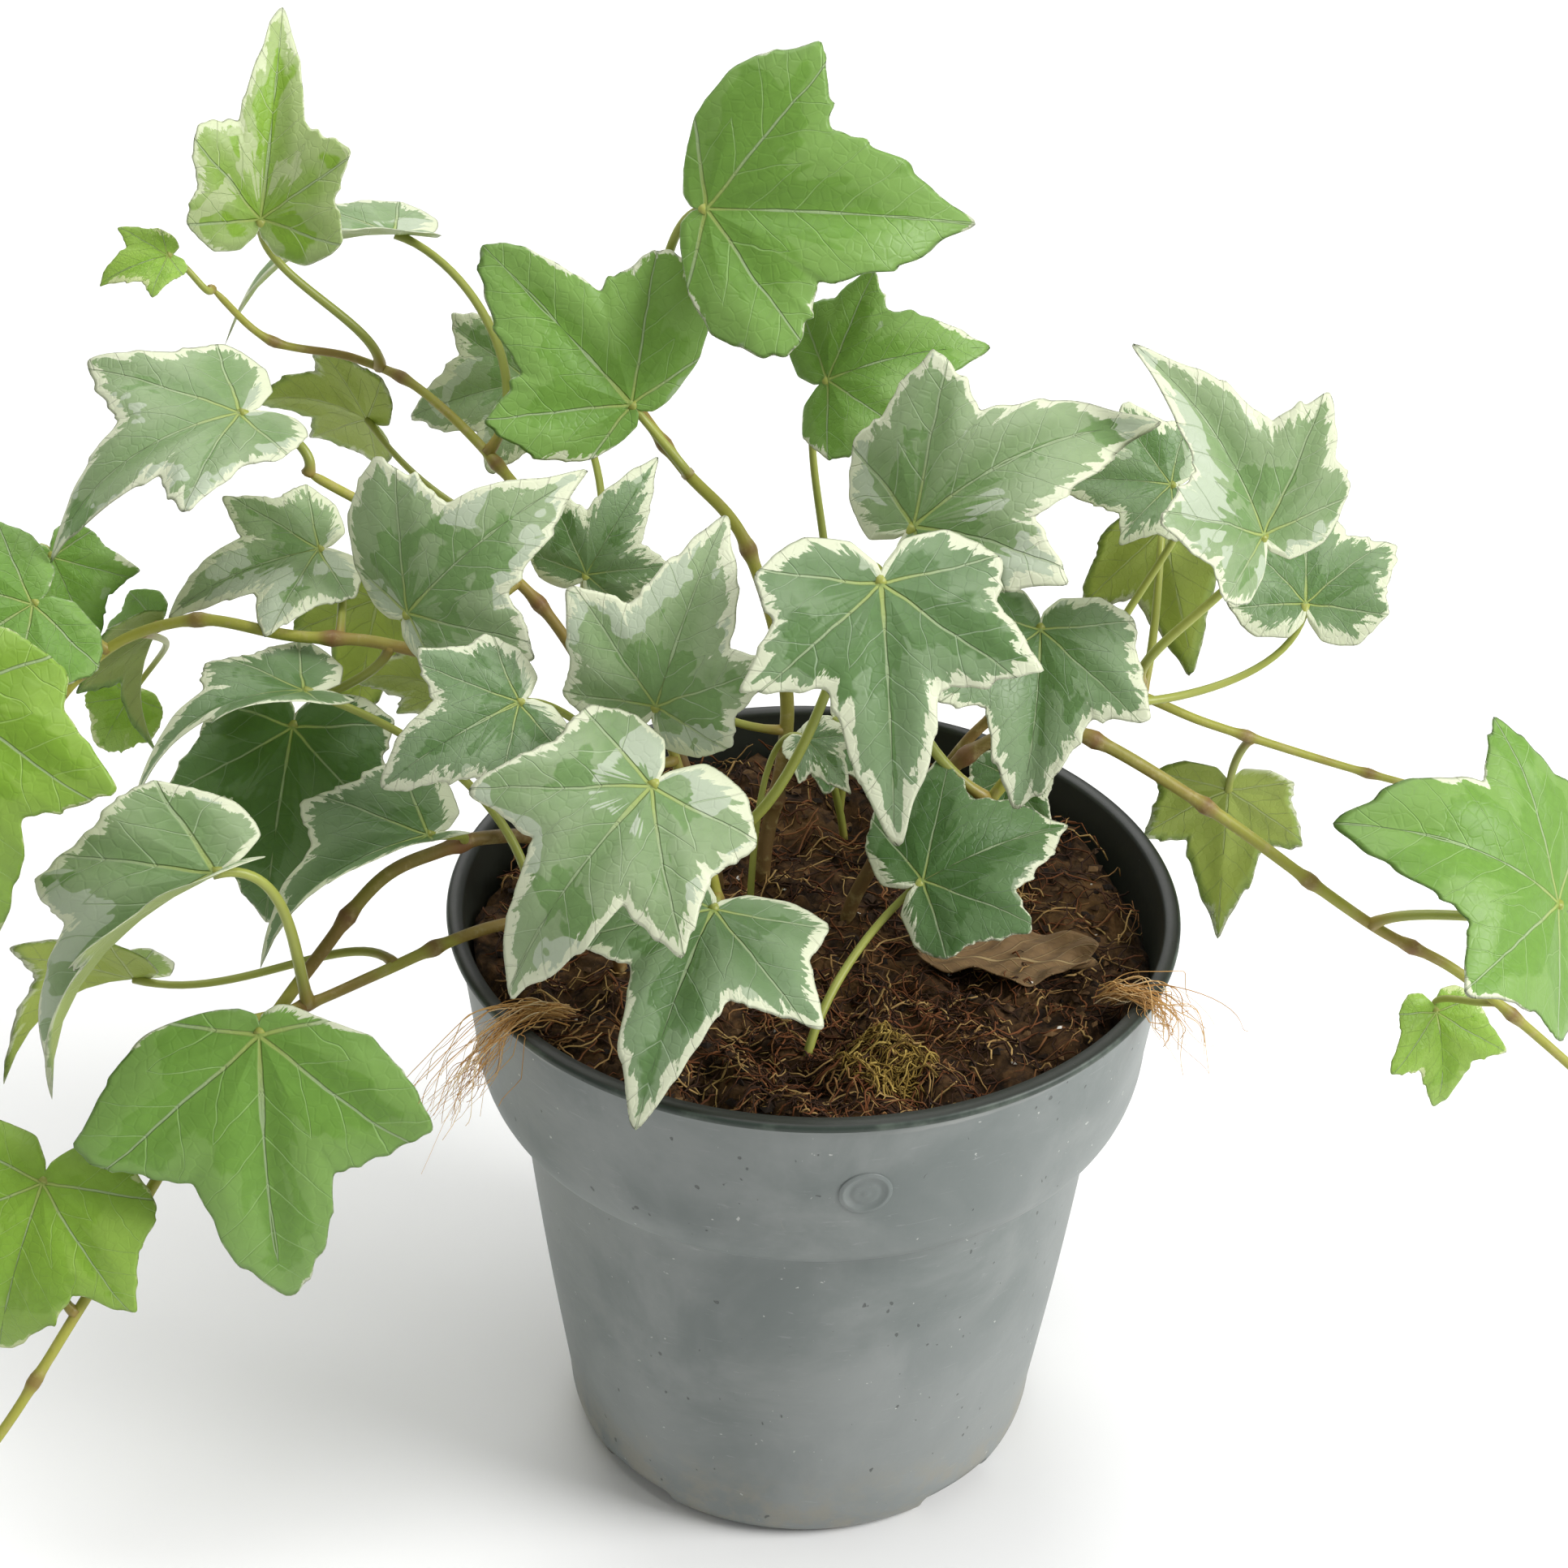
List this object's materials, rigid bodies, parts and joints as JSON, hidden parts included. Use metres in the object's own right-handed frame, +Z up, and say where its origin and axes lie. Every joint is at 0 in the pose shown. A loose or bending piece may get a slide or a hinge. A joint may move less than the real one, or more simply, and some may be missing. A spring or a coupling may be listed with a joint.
{
  "type": "potted ivy",
  "caption": "Variegated ivy in a round plastic nursery pot: rooted vines with lobed, cream-edged leaves trail over a collared rim above peat soil.",
  "frame": {"origin": "centre of the pot's underside, on the surface that the pot stands on", "axes": "+Z up along the pot's axis, -Y towards the front, +X to the right seen from the front"},
  "size_m": [0.2809, 0.1434, 0.2213],
  "materials": {
    "pot_plastic": "satin",
    "potting_soil": "matte",
    "dead_leaf": "matte",
    "root_fibre": "matte",
    "vine_bark": "satin",
    "leaf_green": "satin",
    "leaf_grey_green": "satin",
    "leaf_young": "satin"
  },
  "bodies": {
    "root": {"dead_leaf": "dead_leaf", "leaf_arched": "leaf_grey_green", "leaf_backlit": "leaf_young", "leaf_behind": "leaf_grey_green", "leaf_big": "leaf_grey_green", "leaf_bright": "leaf_young", "leaf_centre": "leaf_green", "leaf_centre_upper": "leaf_grey_green", "leaf_corner": "leaf_young", "leaf_dark_left": "leaf_green", "leaf_dark_middle": "leaf_green", "leaf_edge_lower": "leaf_young", "leaf_edge_upper": "leaf_green", "leaf_far_right": "leaf_green", "leaf_far_right_small": "leaf_young", "leaf_front": "leaf_green", "leaf_front_left": "leaf_grey_green", "leaf_grey": "leaf_grey_green", "leaf_grey_big": "leaf_grey_green", "leaf_inner_dark": "leaf_green", "leaf_inner_small": "leaf_green", "leaf_left_centre": "leaf_grey_green", "leaf_left_dark": "leaf_green", "leaf_left_folded": "leaf_grey_green", "leaf_left_hanging": "leaf_grey_green", "leaf_left_inner": "leaf_young", "leaf_left_long": "leaf_grey_green", "leaf_left_pale": "leaf_young", "leaf_low_right": "leaf_green", "leaf_lower_left": "leaf_green", "leaf_narrow": "leaf_green", "leaf_outer_small": "leaf_young", "leaf_oval": "leaf_young", "leaf_pale_left": "leaf_young", "leaf_rear": "leaf_green", "leaf_right": "leaf_green", "leaf_right_backlit": "leaf_young", "leaf_right_dark": "leaf_green", "leaf_right_grey": "leaf_grey_green", "leaf_right_hanging": "leaf_young", "leaf_right_inner": "leaf_green", "leaf_right_low_dark": "leaf_green", "leaf_tall": "leaf_grey_green", "leaf_top": "leaf_young", "leaf_upright": "leaf_green", "leaf_white_edge": "leaf_grey_green", "pot": "pot_plastic", "root_tuft_left": "root_fibre", "root_tuft_right": "root_fibre", "soil": "potting_soil", "vine_back": "vine_bark", "vine_crown": "vine_bark", "vine_front": "vine_bark", "vine_left_middle": "vine_bark", "vine_left_rim": "vine_bark", "vine_left_upper": "vine_bark", "vine_right_crown": "vine_bark", "vine_right_main": "vine_bark", "vine_right_upper": "vine_bark", "vine_trailing": "vine_bark"}
  },
  "joints": []
}
